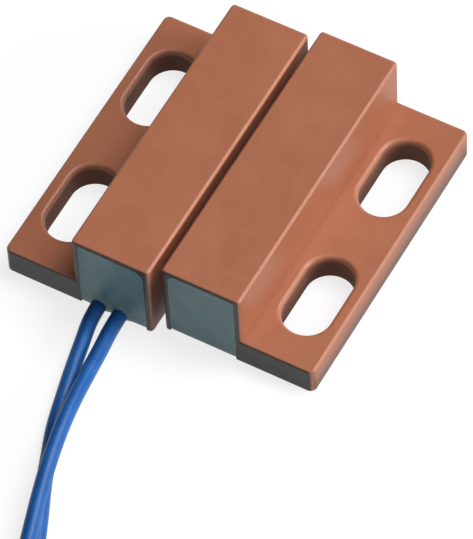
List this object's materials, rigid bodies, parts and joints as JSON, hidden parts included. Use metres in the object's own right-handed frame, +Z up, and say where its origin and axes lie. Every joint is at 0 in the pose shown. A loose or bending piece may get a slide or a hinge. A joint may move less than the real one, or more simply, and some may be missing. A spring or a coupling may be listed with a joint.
{
  "type": "surface mount magnetic door contact",
  "caption": "Surface-mount magnetic door contact: a wired reed switch block and a matching magnet block, each potted with resin and with a slotted screw flange.",
  "frame": {"origin": "middle of the two closed units' footprint, on the mounting surface, free wires left out", "axes": "+X from the switch unit to the magnet unit, +Y from the wire end to the back, +Z up from the mounting surface"},
  "size_m": [0.0468, 0.0759, 0.0085],
  "materials": {
    "brown_plastic": "fine satin as moulded",
    "potting_resin": "cast epoxy, slightly uneven and glossy",
    "reed_glass": "clear with a green tint",
    "soft_sleeve": "soft translucent silicone",
    "reed_alloy": "bright drawn nickel iron",
    "contact_plating": "polished plating",
    "solder": "smooth, bright solder",
    "heat_shrink": "black, slightly shiny",
    "wire_covering": "soft blue vinyl",
    "copper_strands": "bright copper strands",
    "magnet_alloy": "ground grey magnet alloy",
    "tie_nylon": "natural nylon",
    "tinned_strands": "dipped in solder"
  },
  "bodies": {
    "switch_unit": {"switch_housing": "brown_plastic", "switch_potting": "potting_resin", "reed_glass": "reed_glass", "reed_sleeve": "soft_sleeve", "reed_lead_front": "reed_alloy", "reed_lead_rear": "reed_alloy", "solder_front": "solder", "solder_rear": "solder", "heat_shrink_front": "heat_shrink", "heat_shrink_rear": "heat_shrink", "wire_front_inside": "wire_covering", "wire_rear_inside": "wire_covering", "wire_front_core": "copper_strands", "wire_rear_core": "copper_strands", "wire_front_run": "wire_covering", "wire_rear_run": "wire_covering", "wire_coil": "wire_covering", "wire_front_tail": "wire_covering", "wire_rear_tail": "wire_covering", "wire_tie": "tie_nylon", "wire_front_tip": "tinned_strands", "wire_rear_tip": "tinned_strands"},
    "magnet_unit": {"magnet_housing": "brown_plastic", "magnet_potting": "potting_resin", "magnet_bar": "magnet_alloy"},
    "front_blade": {"reed_blade_front": "reed_alloy", "reed_contact_front": "contact_plating"},
    "rear_blade": {"reed_blade_rear": "reed_alloy", "reed_contact_rear": "contact_plating"}
  },
  "joints": [
    {"name": "door_opening", "type": "slide", "parent": "switch_unit", "child": "magnet_unit", "axis": [1, 0, 0], "range_m": [0, 0.025]},
    {"name": "front_blade_flex", "type": "hinge", "parent": "switch_unit", "child": "front_blade", "pos_m": [-0.003, -0.00247, 0.00315], "axis": [-1, 0, 0], "range_deg": [0, 0.9]},
    {"name": "rear_blade_flex", "type": "hinge", "parent": "switch_unit", "child": "rear_blade", "pos_m": [-0.003, 0.00647, 0.00345], "axis": [-1, 0, 0], "range_deg": [0, 0.9]}
  ],
  "couplings": [
    {"joint": "front_blade_flex", "follows": "door_opening", "rad_per_m": 0.628},
    {"joint": "rear_blade_flex", "follows": "door_opening", "rad_per_m": 0.628}
  ]
}
